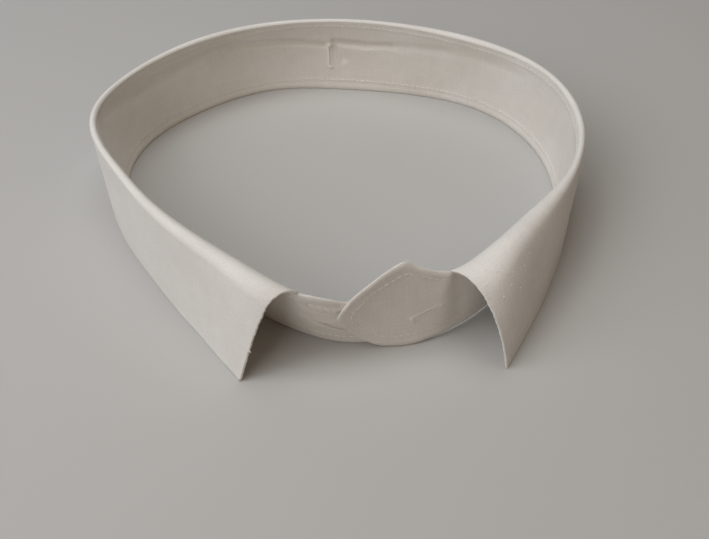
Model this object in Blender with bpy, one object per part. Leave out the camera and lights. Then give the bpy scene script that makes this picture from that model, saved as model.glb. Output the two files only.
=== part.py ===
"""Detachable turn-down shirt collar in stiff starched cotton, closed in a loop and standing on its lower edge.

Front is -Y, +X is the viewer's right, +Z is up. Sizes below are in millimetres.
The origin is the centre of the collar's box, at the level that it stands on.
"""

import bpy
import bmesh
import numpy as np

MM = 0.001

# Cloth
WALL = 1.2            # layers of cotton, fused and starched
SEAM_GAP = 0.35       # between the band's upper edge and the leaf
BELLY_HEIGHT = 30.0   # where the wall's bow ends

# Fineness of the surfaces
BAND_STEP = 6.0       # between sections along the band
LEAF_STEP = 5.6       # between sections along the leaf
BAND_ROWS = 6
ROLL_ROWS = 6
DROP_ROWS = 6

# Buttonholes: a thin slit, whipped round. Places run along the band, heights are above the foot
SLIT_WIDTH = 0.8
CUTTER_REACH = 0.9    # each way from mid-wall, short of the cloth behind and before
CUTTER_STEPS = 7
UPRIGHT = 90.0
BACK_SLIT = {"past_back": 0.9, "height": 16.0, "length": 9.5}
OVER_SLIT = {"reach": 28.8, "height": 12.5, "length": 12.0, "tilt": 21.0}
UNDER_SLIT = {"reach": 22.0, "height": 8.8, "length": 12.0, "tilt": 12.0}

# The rows follow the cloth once round the neck, from the hidden under tab by the left, the back and the right
# to the over tab. Each row is one section, cut square to the band.
#   x, y      foot of the band, middle of its wall
#   lean      of the wall, outward, in degrees
#   belly     how far the wall bows outward at half height
#   height    of the band's upper edge, where no tab shapes it
#   rise      angle above level at which the leaf leaves the band
#   roll      radius of the leaf's fold, middle of its wall
#   shoulder  angle below level at which the fold ends
#   hem_x, y  where the leaf's hem stands
#   sweep     of the leaf at its hem, outward from plumb, in degrees
COLUMNS = ("x", "y", "lean", "belly", "height", "rise", "roll", "shoulder", "hem_x", "hem_y", "sweep")
SECTIONS = {
    "under_tip":   (14.1, -74.7, -9.0, 0.0, 23.9, 0, 0.0, 0, 0.0, 0.0, 0),
    "under_mid":   (2.9, -74.2, -3.0, 0.0, 23.9, 0, 0.0, 0, 0.0, 0.0, 0),
    "under_hole":  (-8.3, -72.1, 9.0, 0.0, 23.9, 0, 0.0, 0, 0.0, 0.0, 0),
    "left_end":    (-17.6, -67.6, 12.5, 0.0, 27.3, 58, 6.2, 56, -42.5, -82.1, 23),
    "left_front":  (-33.4, -55.6, 10.7, 0.0, 30.6, 78, 3.5, 71, -51.4, -67.4, 15),
    "left_lapel":  (-48.9, -40.1, 9.6, 0.0, 31.6, 82, 2.3, 80, -62.5, -48.4, 12),
    "left_cheek":  (-61.7, -24.2, 9.1, 0.2, 32.3, 84, 1.5, 85, -72.8, -29.3, 8),
    "left_side":   (-73.0, -4.4, 9.1, 0.4, 32.4, 86, 1.0, 88, -83.0, -7.9, 4),
    "left_wide":   (-83.5, 21.2, 7.2, 0.6, 33.5, 86, 1.0, 88, -89.7, 21.9, 0),
    "left_rear":   (-77.7, 47.2, 3.4, 0.8, 32.1, 88, 1.0, 88, -83.4, 50.7, 0),
    "back_left":   (-53.5, 69.1, 0.2, 1.0, 32.8, 89, 1.0, 88, -57.5, 74.6, 0),
    "back_mid":    (-19.5, 79.7, -0.1, 1.0, 32.6, 89, 1.0, 88, -20.3, 85.3, 0),
    "back":        (3.2, 76.1, 4.5, 1.0, 32.8, 88, 1.0, 88, 4.7, 82.9, 0),
    "back_right":  (36.1, 65.9, 3.1, 0.8, 32.7, 88, 1.0, 88, 39.0, 72.1, 0),
    "right_rear":  (67.2, 46.9, 0.3, 0.6, 32.5, 89, 1.3, 88, 72.8, 51.2, 0),
    "right_wide":  (82.4, 19.4, 7.9, 0.4, 33.0, 86, 1.0, 88, 91.7, 20.6, 0),
    "right_side":  (83.6, -11.7, 9.5, 0.2, 32.3, 84, 1.0, 88, 89.7, -13.0, 2),
    "right_cheek": (72.4, -37.8, 6.8, 0.0, 32.9, 84, 1.2, 80, 77.4, -42.1, 4),
    "right_lapel": (54.7, -54.7, 4.4, 0.0, 32.0, 78, 3.6, 65, 63.8, -65.1, 5),
    "right_front": (41.3, -66.3, 2.6, 0.0, 31.6, 63, 5.5, 62, 52.9, -79.8, 8),
    "right_end":   (27.8, -73.9, -2.8, 0.0, 28.0, 35, 10.7, 45, 42.5, -93.0, 9),
    "over_peak":   (14.6, -77.2, -9.0, 0.0, 29.2, 0, 0.0, 0, 0.0, 0.0, 0),
    "over_mid":    (2.9, -76.2, -3.0, 0.0, 29.2, 0, 0.0, 0, 0.0, 0.0, 0),
    "over_tip":    (-9.4, -73.9, 9.7, 0.0, 29.2, 0, 0.0, 0, 0.0, 0.0, 0),
}
LEAF_COLUMNS = slice(COLUMNS.index("rise"), None)
LEAF_FROM = "left_end"
LEAF_TO = "right_end"

# Outline of each tab: reach from its tip, lower edge and upper edge above the foot
OVER_TAB = (
    (0.0, 16.9, 17.8), (0.6, 15.2, 18.9), (1.2, 13.6, 20.0), (1.8, 12.3, 21.0), (3.1, 9.7, 23.0),
    (4.6, 7.3, 25.1), (6.7, 4.4, 26.9), (9.0, 2.6, 28.5), (11.4, 1.1, 29.9), (14.1, 0.2, 31.5),
    (17.3, 0.0, 32.9), (19.5, 0.0, 33.6), (21.2, 0.0, 34.1), (22.4, 0.0, 34.2), (23.6, 0.0, 33.9),
    (25.1, 0.1, 33.1), (27.1, 0.3, 31.9), (30.0, 0.7, 30.6), (33.6, 1.0, 29.3), (37.9, 1.2, 28.1),
)
UNDER_TAB = (
    (0.0, 10.5, 12.9), (0.5, 8.2, 14.6), (1.2, 6.4, 16.0), (2.6, 4.1, 17.8), (4.7, 2.5, 19.2),
    (8.6, 1.0, 20.6), (13.2, 0.3, 21.6), (17.0, 0.0, 22.3), (20.4, 0.0, 23.3), (23.2, 0.0, 25.2),
    (26.2, 0.0, 26.7), (29.5, 0.0, 27.4), (33.0, 0.0, 27.3),
)
# Lower edge of the band on from the over tab, a little off the ground: reach from its tip, height
OVER_FOOT = ((37.9, 1.2), (54.0, 1.2), (80.0, 0.0))

COTTON = (0.80, 0.79, 0.76, 1.0)
COTTON_ROUGHNESS = 0.75


def natural_spline(knots, values, places):
    """Natural cubic spline through the rows of values, read at the given places."""
    step = np.diff(knots)
    count = len(knots)
    system = np.eye(count)
    right = np.zeros_like(values)
    for i in range(1, count - 1):
        system[i, i - 1:i + 2] = step[i - 1], 2 * (step[i - 1] + step[i]), step[i]
        right[i] = 6 * ((values[i + 1] - values[i]) / step[i] - (values[i] - values[i - 1]) / step[i - 1])
    bend = np.linalg.solve(system, right)
    row = np.clip(np.searchsorted(knots, places, side="right") - 1, 0, count - 2)
    width = step[row][:, None]
    b = (places - knots[row])[:, None] / width
    a = 1 - b
    curve = (a ** 3 - a) * bend[row] + (b ** 3 - b) * bend[row + 1]
    return a * values[row] + b * values[row + 1] + curve * width ** 2 / 6


def unit(vectors):
    """The vectors at length one."""
    return vectors / np.linalg.norm(vectors, axis=-1, keepdims=True)


class Neck:
    """The line that the band's foot takes round the neck, with every section's sizes along it."""

    TANGENT_REACH = 0.05

    def __init__(self):
        self.names = list(SECTIONS)
        self.table = np.array(list(SECTIONS.values()), dtype=float)
        self.knots = self.arc_places(self.table[:, :2])
        self.length = self.knots[-1]

    @staticmethod
    def arc_places(foot, rounds=3, samples=4000):
        """Each row's place along the curve through the rows, in millimetres of cloth."""
        chords = np.linalg.norm(np.diff(foot, axis=0), axis=1)
        places = np.concatenate([[0.0], np.cumsum(chords)])
        for _ in range(rounds):
            fine = np.linspace(0.0, places[-1], samples)
            steps = np.linalg.norm(np.diff(natural_spline(places, foot, fine), axis=0), axis=1)
            arc = np.concatenate([[0.0], np.cumsum(steps)])
            places = np.interp(places, fine, arc)
        return places

    def place(self, name):
        """How far along the cloth a named row is."""
        return self.knots[self.names.index(name)]

    def sizes(self, places):
        """Every column at the given places, by its name."""
        values = natural_spline(self.knots, self.table, places)
        leaf_rows = slice(self.names.index(LEAF_FROM), self.names.index(LEAF_TO) + 1)
        leaf_table = self.table[leaf_rows, LEAF_COLUMNS]
        values[:, LEAF_COLUMNS] = natural_spline(self.knots[leaf_rows], leaf_table, places)
        return dict(zip(COLUMNS, values.T))

    def outward(self, places):
        """Level direction out of the loop, square to the band."""
        ahead = natural_spline(self.knots, self.table[:, :2], places + self.TANGENT_REACH)
        behind = natural_spline(self.knots, self.table[:, :2], places - self.TANGENT_REACH)
        along = unit(ahead - behind)
        return np.stack([-along[:, 1], along[:, 0]], axis=1)

    def wall(self, places, heights, out):
        """Points of the band's wall, moved out along the wall's own normal."""
        size = self.sizes(places)
        lean = np.tan(np.radians(size["lean"]))
        part = heights / BELLY_HEIGHT
        shift = lean * heights + size["belly"] * 4 * part * (1 - part)
        slope = lean + size["belly"] * 4 * (1 - 2 * part) / BELLY_HEIGHT
        square = out / np.hypot(1.0, slope)
        level = np.stack([size["x"], size["y"]], axis=1) + self.outward(places) * (shift + square)[:, None]
        return np.column_stack([level, heights - square * slope])


def band_edges(neck, places):
    """Height of the band's lower and upper edge at the given places."""
    low = np.zeros_like(places)
    high = neck.sizes(places)["height"]
    for tab, reach in ((OVER_TAB, neck.length - places), (UNDER_TAB, places)):
        distance, lower, upper = np.array(tab).T
        inside = reach < distance[-1]
        low[inside] = np.interp(reach[inside], distance, lower)
        high[inside] = np.interp(reach[inside], distance, upper)
    reach = neck.length - places
    lifted = (reach >= OVER_FOOT[0][0]) & (reach < OVER_FOOT[-1][0])
    low[lifted] = np.interp(reach[lifted], *np.array(OVER_FOOT).T)
    return low, high


def band_faces(neck):
    """Outer and inner face of the band, as two grids of points."""
    under = np.array(UNDER_TAB)[:, 0]
    over = neck.length - np.array(OVER_TAB)[::-1, 0]
    between = np.linspace(under[-1], over[0], round((over[0] - under[-1]) / BAND_STEP) + 1)
    places = np.concatenate([under[:-1], between, over[1:]])
    low, high = band_edges(neck, places)
    faces = []
    for out in (WALL / 2, -WALL / 2):
        rows = [neck.wall(places, low + (high - low) * part, out) for part in np.linspace(0, 1, BAND_ROWS + 1)]
        grid = np.stack(rows, axis=1)
        grid[:, 0, 2] = np.where(low == 0.0, 0.0, np.maximum(grid[:, 0, 2], 0.0))
        faces.append(grid)
    return faces


def leaf_profile(start_height, span, size):
    """Middle of the leaf's wall in one section: (distance out, height) from the band's edge to the hem."""
    rise, shoulder, sweep = (np.radians(size[name]) for name in ("rise", "shoulder", "sweep"))
    roll = size["roll"]
    turn = np.linspace(rise, -shoulder, ROLL_ROWS + 1)
    centre = np.array([roll * np.sin(rise), start_height - roll * np.cos(rise)])
    fold = centre + roll * np.column_stack([-np.sin(turn), np.cos(turn)])
    hem = np.array([span, 0.0])
    chord = np.linalg.norm(hem - fold[-1])
    leave = chord * np.array([np.cos(shoulder), -np.sin(shoulder)])
    arrive = chord * np.array([np.sin(sweep), -np.cos(sweep)])
    b = np.linspace(0, 1, DROP_ROWS + 1)[1:, None]
    drop = ((2 * b ** 3 - 3 * b ** 2 + 1) * fold[-1] + (b ** 3 - 2 * b ** 2 + b) * leave
            + (3 * b ** 2 - 2 * b ** 3) * hem + (b ** 3 - b ** 2) * arrive)
    return np.concatenate([fold, drop])


def leaf_faces(neck):
    """Outer and inner face of the leaf, as two grids of points."""
    first, last = neck.place(LEAF_FROM), neck.place(LEAF_TO)
    places = np.linspace(first, last, round((last - first) / LEAF_STEP) + 1)
    sizes = neck.sizes(places)
    starts = neck.wall(places, sizes["height"] + SEAM_GAP, 0.0)
    hems = np.stack([sizes["hem_x"], sizes["hem_y"]], axis=1)
    middle = []
    for i, start in enumerate(starts):
        way = hems[i] - start[:2]
        span = np.linalg.norm(way)
        size = {name: column[i] for name, column in sizes.items()}
        profile = leaf_profile(start[2], span, size)
        middle.append(np.column_stack([start[:2] + profile[:, :1] * way / span, profile[:, 1]]))
    middle = np.array(middle)
    normal = unit(np.cross(np.gradient(middle, axis=0), np.gradient(middle, axis=1)))
    normal[:, 0] = neck.wall(places, sizes["height"], -1.0) - neck.wall(places, sizes["height"], 0.0)
    faces = []
    for out in (WALL / 2, -WALL / 2):
        grid = middle + normal * out
        down = grid[:, -1] - grid[:, -2]
        grid[:, -1] -= down * (grid[:, -1, 2] / down[:, 2])[:, None]
        faces.append(grid)
    return faces


def stitch(mesh, near, far):
    """Quads between two rows of vertices."""
    for i in range(len(near) - 1):
        mesh.faces.new((near[i], near[i + 1], far[i + 1], far[i]))


def cloth_wall(name, outer, inner, centre, collection):
    """Closed wall of cloth between an outer and an inner grid of points."""
    mesh = bmesh.new()
    sides = []
    for grid in (outer, inner):
        sides.append([[mesh.verts.new((point - centre) * MM) for point in column] for column in grid])
    out, into = sides
    for near, far in zip(out[:-1], out[1:]):
        stitch(mesh, near, far)
    for near, far in zip(into[:-1], into[1:]):
        stitch(mesh, far, near)
    stitch(mesh, out[0], into[0])
    stitch(mesh, into[-1], out[-1])
    stitch(mesh, [column[0] for column in into], [column[0] for column in out])
    stitch(mesh, [column[-1] for column in out], [column[-1] for column in into])
    bmesh.ops.recalc_face_normals(mesh, faces=mesh.faces[:])
    data = bpy.data.meshes.new(name)
    mesh.to_mesh(data)
    mesh.free()
    data.shade_smooth()
    data.set_sharp_from_angle(angle=np.radians(40))
    piece = bpy.data.objects.new(name, data)
    piece.data.materials.append(cotton(name))
    collection.objects.link(piece)
    return piece


def cotton(name):
    """White starched cotton."""
    material = bpy.data.materials.new(name + "_cotton")
    material.use_nodes = True
    shader = material.node_tree.nodes["Principled BSDF"]
    shader.inputs["Base Color"].default_value = COTTON
    shader.inputs["Roughness"].default_value = COTTON_ROUGHNESS
    shader.inputs["Metallic"].default_value = 0.0
    material.diffuse_color = COTTON
    return material


def slit_cutter(name, neck, place, height, length, tilt, centre, collection):
    """Thin strip that follows the wall, for a buttonhole. Tilt is its rise towards the back, in degrees."""
    angle = np.radians(tilt)
    steps = np.linspace(-length / 2, length / 2, CUTTER_STEPS)
    mesh = bmesh.new()
    corners = []
    for side, out in ((-1, -1), (1, -1), (1, 1), (-1, 1)):
        places = place - steps * np.cos(angle) + side * SLIT_WIDTH / 2 * np.sin(angle)
        heights = height + steps * np.sin(angle) + side * SLIT_WIDTH / 2 * np.cos(angle)
        row = neck.wall(places, heights, out * CUTTER_REACH)
        corners.append([mesh.verts.new((point - centre) * MM) for point in row])
    for near, far in zip(corners, corners[1:] + corners[:1]):
        stitch(mesh, near, far)
    for end in (0, -1):
        mesh.faces.new([row[end] for row in corners])
    bmesh.ops.recalc_face_normals(mesh, faces=mesh.faces[:])
    data = bpy.data.meshes.new(name)
    mesh.to_mesh(data)
    mesh.free()
    cutter = bpy.data.objects.new(name, data)
    cutter.hide_render = True
    cutter.display_type = "WIRE"
    collection.objects.link(cutter)
    return cutter


def cut(piece, cutter):
    """Take the cutter's shape out of the piece."""
    change = piece.modifiers.new(cutter.name, "BOOLEAN")
    change.operation = "DIFFERENCE"
    change.solver = "EXACT"
    change.object = cutter


def new_collection(name):
    """A collection in the scene."""
    collection = bpy.data.collections.new(name)
    bpy.context.scene.collection.children.link(collection)
    return collection


def main():
    for old in list(bpy.data.objects):
        bpy.data.objects.remove(old, do_unlink=True)
    pieces = new_collection("detachable_collar")
    cutters = new_collection("cutters")
    neck = Neck()

    band_outer, band_inner = band_faces(neck)
    leaf_outer, leaf_inner = leaf_faces(neck)
    points = np.concatenate([grid.reshape(-1, 3) for grid in (band_outer, band_inner, leaf_outer, leaf_inner)])
    centre = (points.min(axis=0) + points.max(axis=0)) / 2
    centre[2] = 0.0

    band = cloth_wall("band", band_outer, band_inner, centre, pieces)
    cloth_wall("leaf", leaf_outer, leaf_inner, centre, pieces)

    back = neck.place("back") + BACK_SLIT["past_back"]
    over = neck.length - OVER_SLIT["reach"]
    slits = (
        ("back_slit", back, BACK_SLIT["height"], BACK_SLIT["length"], UPRIGHT),
        ("over_slit", over, OVER_SLIT["height"], OVER_SLIT["length"], OVER_SLIT["tilt"]),
        ("under_slit", UNDER_SLIT["reach"], UNDER_SLIT["height"], UNDER_SLIT["length"], -UNDER_SLIT["tilt"]),
    )
    for name, place, height, length, tilt in slits:
        cut(band, slit_cutter(name, neck, place, height, length, tilt, centre, cutters))


main()
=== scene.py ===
# %% [markdown]
# A detachable turn-down collar in starched white cotton. It is two pieces of cloth: the band that goes
# round the neck, and the leaf that is sewn to the band's upper edge and folds down over it. The solids of
# both are loaded as a frame that stays where it is, and finer walls of cloth are built in their place.

import bmesh
import bpy
import numpy as np
from mathutils import Euler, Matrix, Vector
from mathutils.kdtree import KDTree


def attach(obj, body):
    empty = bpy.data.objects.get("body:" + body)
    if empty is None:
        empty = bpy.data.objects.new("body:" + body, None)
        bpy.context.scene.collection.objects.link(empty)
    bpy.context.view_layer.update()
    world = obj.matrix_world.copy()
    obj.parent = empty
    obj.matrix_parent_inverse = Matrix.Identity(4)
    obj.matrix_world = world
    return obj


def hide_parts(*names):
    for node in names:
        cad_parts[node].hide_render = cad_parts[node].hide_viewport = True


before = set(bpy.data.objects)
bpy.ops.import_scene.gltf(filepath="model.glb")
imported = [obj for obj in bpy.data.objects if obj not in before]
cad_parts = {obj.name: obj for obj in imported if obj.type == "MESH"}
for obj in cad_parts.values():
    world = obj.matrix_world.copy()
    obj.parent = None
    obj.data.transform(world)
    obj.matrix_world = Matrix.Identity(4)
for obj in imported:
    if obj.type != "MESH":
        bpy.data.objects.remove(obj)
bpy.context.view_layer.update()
MM = 0.001

# %% [markdown]
# The camera stands as the photographer did: close in front of the collar and well above it, looking down
# at about 45 degrees with a little turn and roll. It stands first, because every later choice is judged
# through it. Empties and constraints could aim it, but plain angles say the same in four lines and never
# move.

# %% Camera
CAMERA_PLACE = (-16.617, -243.634, 218.66)   # mm, in the collar's own frame
CAMERA_DOWN = 45.055                     # degrees below level
CAMERA_RIGHT = 11.361                    # degrees turned to the right of straight back
CAMERA_ROLL = 0.652
LENS = 42.01                             # mm, on a sensor 36 mm wide
SHIFT = (-0.1041, -0.0319)               # the photo is cropped off centre

eye = bpy.data.cameras.new("camera")
eye.sensor_width = 36.0
eye.lens = LENS
eye.shift_x, eye.shift_y = SHIFT
eye.clip_start = 0.01
camera = bpy.data.objects.new("camera", eye)
camera.location = Vector(CAMERA_PLACE) * MM
heading = Euler((0, 0, np.radians(-CAMERA_RIGHT))).to_matrix()
tilt = Euler((np.radians(90 - CAMERA_DOWN), 0, 0)).to_matrix()
roll = Euler((0, 0, np.radians(CAMERA_ROLL))).to_matrix()
camera.rotation_euler = (heading @ tilt @ roll).to_euler()
bpy.context.scene.collection.objects.link(camera)
bpy.context.scene.camera = camera
print("Camera at", camera.location[:])

# %% [markdown]
# Colours are picked as sRGB hex values, as they look on a screen, but the shader works with linear light,
# so one function converts them. Nodes are added by one function too: it makes the node, sets it and wires
# it.

# %% Colours and nodes
def colour(hex_value):
    """An sRGB hex colour as the shader wants it: linear red, green and blue, with alpha 1."""
    srgb = np.array([int(hex_value[i:i + 2], 16) / 255 for i in (1, 3, 5)])
    linear = np.where(srgb <= 0.04045, srgb / 12.92, ((srgb + 0.055) / 1.055) ** 2.4)
    return (*linear.tolist(), 1.0)


def add(tree, kind, inputs=None, **settings):
    """One node. Settings are its own options; each input is a value or another node's output."""
    made = tree.nodes.new("ShaderNode" + kind)
    for name, value in settings.items():
        setattr(made, name, value)
    for socket, value in (inputs or {}).items():
        if isinstance(value, bpy.types.NodeSocket):
            tree.links.new(value, made.inputs[socket])
        else:
            made.inputs[socket].default_value = value
    return made


def new_material(name):
    """An empty node material and its tree."""
    material = bpy.data.materials.new(name)
    material.use_nodes = True
    material.node_tree.nodes.clear()
    return material, material.node_tree


print("White cotton in linear light:", colour("#ECE9E3"))

# %% [markdown]
# The studio is a plain pale floor and soft light. In the photo the light comes from the left, half from
# high up and half from lower windows: the left leaf is bright, the front of the tab and the right leaf
# are grey, and the inside is brightest on the right, where it faces the windows. Three broad lamps on the
# left do that, one overhead lights the folds and the upper edge, and two weak warm ones keep the far
# sides open. The view transform is Standard, because the softer default would flatten these quiet greys.

# %% Floor and light
FLOOR_SIZE = 6.0
LIGHTS = {   # place in m, width in m, power in W, colour
    "high_left": ((-0.47, 0.0, 0.88), 0.50, 2.5, "#F8FAFF"),
    "left_window": ((-0.82, 0.0, 0.57), 0.50, 1.8, "#FBFAFF"),
    "front_left": ((-0.58, -0.58, 0.57), 0.50, 1.9, "#FFFCFA"),
    "ceiling": ((0.05, 0.15, 1.00), 0.60, 3.2, "#FFFEFC"),
    "right_room": ((0.61, -0.35, 0.71), 0.60, 0.7, "#FFE4C6"),
    "low_front": ((0.10, -0.85, 0.45), 0.60, 0.5, "#FFE0BE"),
}
SKY = ("#F2EEE9", 0.02)
AIM = Vector((0.0, 0.0, 0.015))

bpy.ops.mesh.primitive_grid_add(x_subdivisions=2, y_subdivisions=2, size=FLOOR_SIZE)
floor = bpy.context.active_object
floor.name = "floor"
paper, tree = new_material("matt_paper")
shader = add(tree, "BsdfPrincipled", {"Base Color": colour("#BDBCB9"), "Roughness": 0.9})
add(tree, "OutputMaterial", {"Surface": shader.outputs["BSDF"]})
floor.data.materials.append(paper)

for name, (place, width, power, hex_value) in LIGHTS.items():
    lamp = bpy.data.lights.new(name, "AREA")
    lamp.size = width
    lamp.energy = power
    lamp.color = colour(hex_value)[:3]
    stand = bpy.data.objects.new(name, lamp)
    stand.location = place
    stand.rotation_euler = (AIM - stand.location).to_track_quat("-Z", "Y").to_euler()
    bpy.context.scene.collection.objects.link(stand)

sky = bpy.data.worlds.new("room_light")
sky.use_nodes = True
sky.node_tree.nodes["Background"].inputs["Color"].default_value = colour(SKY[0])
sky.node_tree.nodes["Background"].inputs["Strength"].default_value = SKY[1]
bpy.context.scene.world = sky
bpy.context.scene.view_settings.view_transform = "Standard"
print("Lights:", list(LIGHTS))

# %% [markdown]
# Stiff cloth is best described the way a pattern cutter would: sections, one after another, along the
# length of the cloth. Each row says where the band's foot stands, how the wall leans, how high it is, and
# how the leaf leaves it, folds and comes down to its hem. Places between the rows come from a smooth
# curve through them.

# %% Sections along the cloth
WALL = 1.2            # mm, layers of cotton, fused and starched
LEAF_WALL = 0.95      # mm, the leaf has one layer less
BELLY_HEIGHT = 30.0   # where the wall's bow ends
#   x, y foot of the band; lean in degrees; belly bow of the wall; height of the band;
#   rise angle at which the leaf leaves it; roll radius of its fold; shoulder angle where the fold ends;
#   hem_x, hem_y foot of the leaf; sweep angle at which it comes down to its hem
COLUMNS = ("x", "y", "lean", "belly", "height", "rise", "roll", "shoulder", "hem_x", "hem_y", "sweep")
SECTIONS = {
    "under_tip":   (14.1, -74.7, -9.0, 0.0, 23.9, 0, 0.0, 0, 0.0, 0.0, 0),
    "under_mid":   (2.9, -74.2, -3.0, 0.0, 23.9, 0, 0.0, 0, 0.0, 0.0, 0),
    "under_hole":  (-8.3, -72.1, 9.0, 0.0, 23.9, 0, 0.0, 0, 0.0, 0.0, 0),
    "left_end":    (-17.6, -67.6, 12.5, 0.0, 27.3, 58, 6.2, 56, -42.5, -82.1, 23),
    "left_front":  (-33.4, -55.6, 10.7, 0.0, 30.6, 78, 3.5, 71, -51.4, -67.4, 15),
    "left_lapel":  (-48.9, -40.1, 9.6, 0.0, 31.6, 82, 2.3, 80, -62.5, -48.4, 12),
    "left_cheek":  (-61.7, -24.2, 9.1, 0.2, 32.3, 84, 1.5, 85, -72.8, -29.3, 8),
    "left_side":   (-73.0, -4.4, 9.1, 0.4, 32.4, 86, 1.0, 88, -83.0, -7.9, 4),
    "left_wide":   (-83.5, 21.2, 7.2, 0.6, 33.5, 86, 0.9, 88, -89.7, 21.9, 0),
    "left_rear":   (-77.7, 47.2, 3.4, 0.8, 32.1, 88, 0.7, 88, -83.4, 50.7, 0),
    "back_left":   (-53.5, 69.1, 0.2, 1.0, 32.8, 89, 0.9, 88, -57.5, 74.6, 0),
    "back_mid":    (-19.5, 79.7, -0.1, 1.0, 32.6, 89, 0.8, 88, -20.3, 85.3, 0),
    "back":        (3.2, 76.1, 4.5, 1.0, 32.8, 88, 0.6, 88, 4.7, 82.9, 0),
    "back_right":  (36.1, 65.9, 3.1, 0.8, 32.7, 88, 0.9, 88, 39.0, 72.1, 0),
    "right_rear":  (67.2, 46.9, 0.3, 0.6, 32.5, 89, 1.3, 88, 72.8, 51.2, 0),
    "right_wide":  (82.4, 19.4, 7.9, 0.4, 33.0, 86, 0.9, 88, 91.7, 20.6, 0),
    "right_side":  (83.6, -11.7, 9.5, 0.2, 32.3, 84, 1.0, 88, 89.7, -13.0, 2),
    "right_cheek": (72.4, -37.8, 6.8, 0.0, 32.9, 84, 1.2, 80, 77.4, -42.1, 4),
    "right_lapel": (54.7, -54.7, 4.4, 0.0, 32.0, 78, 3.6, 65, 63.8, -65.1, 5),
    "right_front": (41.3, -66.3, 2.6, 0.0, 31.6, 63, 5.5, 62, 52.9, -79.8, 8),
    "right_end":   (27.8, -73.9, -2.8, 0.0, 28.0, 35, 10.7, 45, 42.5, -93.0, 9),
    "over_peak":   (14.6, -77.2, -9.0, 0.0, 29.2, 0, 0.0, 0, 0.0, 0.0, 0),
    "over_mid":    (2.9, -76.2, -3.0, 0.0, 29.2, 0, 0.0, 0, 0.0, 0.0, 0),
    "over_tip":    (-9.4, -73.9, 9.7, 0.0, 29.2, 0, 0.0, 0, 0.0, 0.0, 0),
}
#   Outline of each tab: reach from its tip, lower edge, upper edge
OVER_TAB = (
    (0.0, 16.9, 17.8), (0.6, 15.2, 18.9), (1.2, 13.6, 20.0), (1.8, 12.3, 21.0), (3.1, 9.7, 23.0),
    (4.6, 7.3, 25.1), (6.7, 4.4, 26.9), (9.0, 2.6, 28.5), (11.4, 1.1, 29.9), (14.1, 0.2, 31.5),
    (17.3, 0.0, 32.9), (19.5, 0.0, 33.6), (21.2, 0.0, 34.1), (22.4, 0.0, 34.2), (23.6, 0.0, 33.9),
    (25.1, 0.1, 33.1), (27.1, 0.3, 31.9), (30.0, 0.7, 30.6), (33.6, 1.0, 29.3), (37.9, 1.2, 28.1),
)
UNDER_TAB = (
    (0.0, 10.5, 12.9), (0.5, 8.2, 14.6), (1.2, 6.4, 16.0), (2.6, 4.1, 17.8), (4.7, 2.5, 19.2),
    (8.6, 1.0, 20.6), (13.2, 0.3, 21.6), (17.0, 0.0, 22.3), (20.4, 0.0, 23.3), (23.2, 0.0, 25.2),
    (26.2, 0.0, 26.7), (29.5, 0.0, 27.4), (33.0, 0.0, 27.3),
)
OVER_FOOT = ((37.9, 1.2), (54.0, 1.2), (80.0, 0.0))   # on from the tab, a little off the ground
names = list(SECTIONS)
table = np.array(list(SECTIONS.values()), dtype=float)
leaf_columns = slice(COLUMNS.index("rise"), None)
leaf_rows = slice(names.index("left_end"), names.index("right_end") + 1)


def spline(knots, values, places):
    """Natural cubic curve through the rows of values, read at the given places."""
    step = np.diff(knots)
    count = len(knots)
    system = np.eye(count)
    right = np.zeros_like(values)
    for i in range(1, count - 1):
        system[i, i - 1:i + 2] = step[i - 1], 2 * (step[i - 1] + step[i]), step[i]
        right[i] = 6 * ((values[i + 1] - values[i]) / step[i] - (values[i] - values[i - 1]) / step[i - 1])
    bend = np.linalg.solve(system, right)
    row = np.clip(np.searchsorted(knots, places, side="right") - 1, 0, count - 2)
    width = step[row][:, None]
    b = (places - knots[row])[:, None] / width
    a = 1 - b
    curve = (a ** 3 - a) * bend[row] + (b ** 3 - b) * bend[row + 1]
    return a * values[row] + b * values[row + 1] + curve * width ** 2 / 6


def lengths_along(foot, rounds=3, samples=4000):
    """How far along the cloth each row is."""
    places = np.concatenate([[0.0], np.cumsum(np.linalg.norm(np.diff(foot, axis=0), axis=1))])
    for _ in range(rounds):
        fine = np.linspace(0.0, places[-1], samples)
        steps = np.linalg.norm(np.diff(spline(places, foot, fine), axis=0), axis=1)
        places = np.interp(places, fine, np.concatenate([[0.0], np.cumsum(steps)]))
    return places


knots = lengths_along(table[:, :2])
LENGTH = knots[-1]
LEAF_START, LEAF_END = knots[leaf_rows][[0, -1]]
BACK = knots[names.index("back")]
print(f"The band is {LENGTH:.1f} mm of cloth; the leaf sits on {LEAF_START:.1f} to {LEAF_END:.1f} mm of it")
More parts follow.
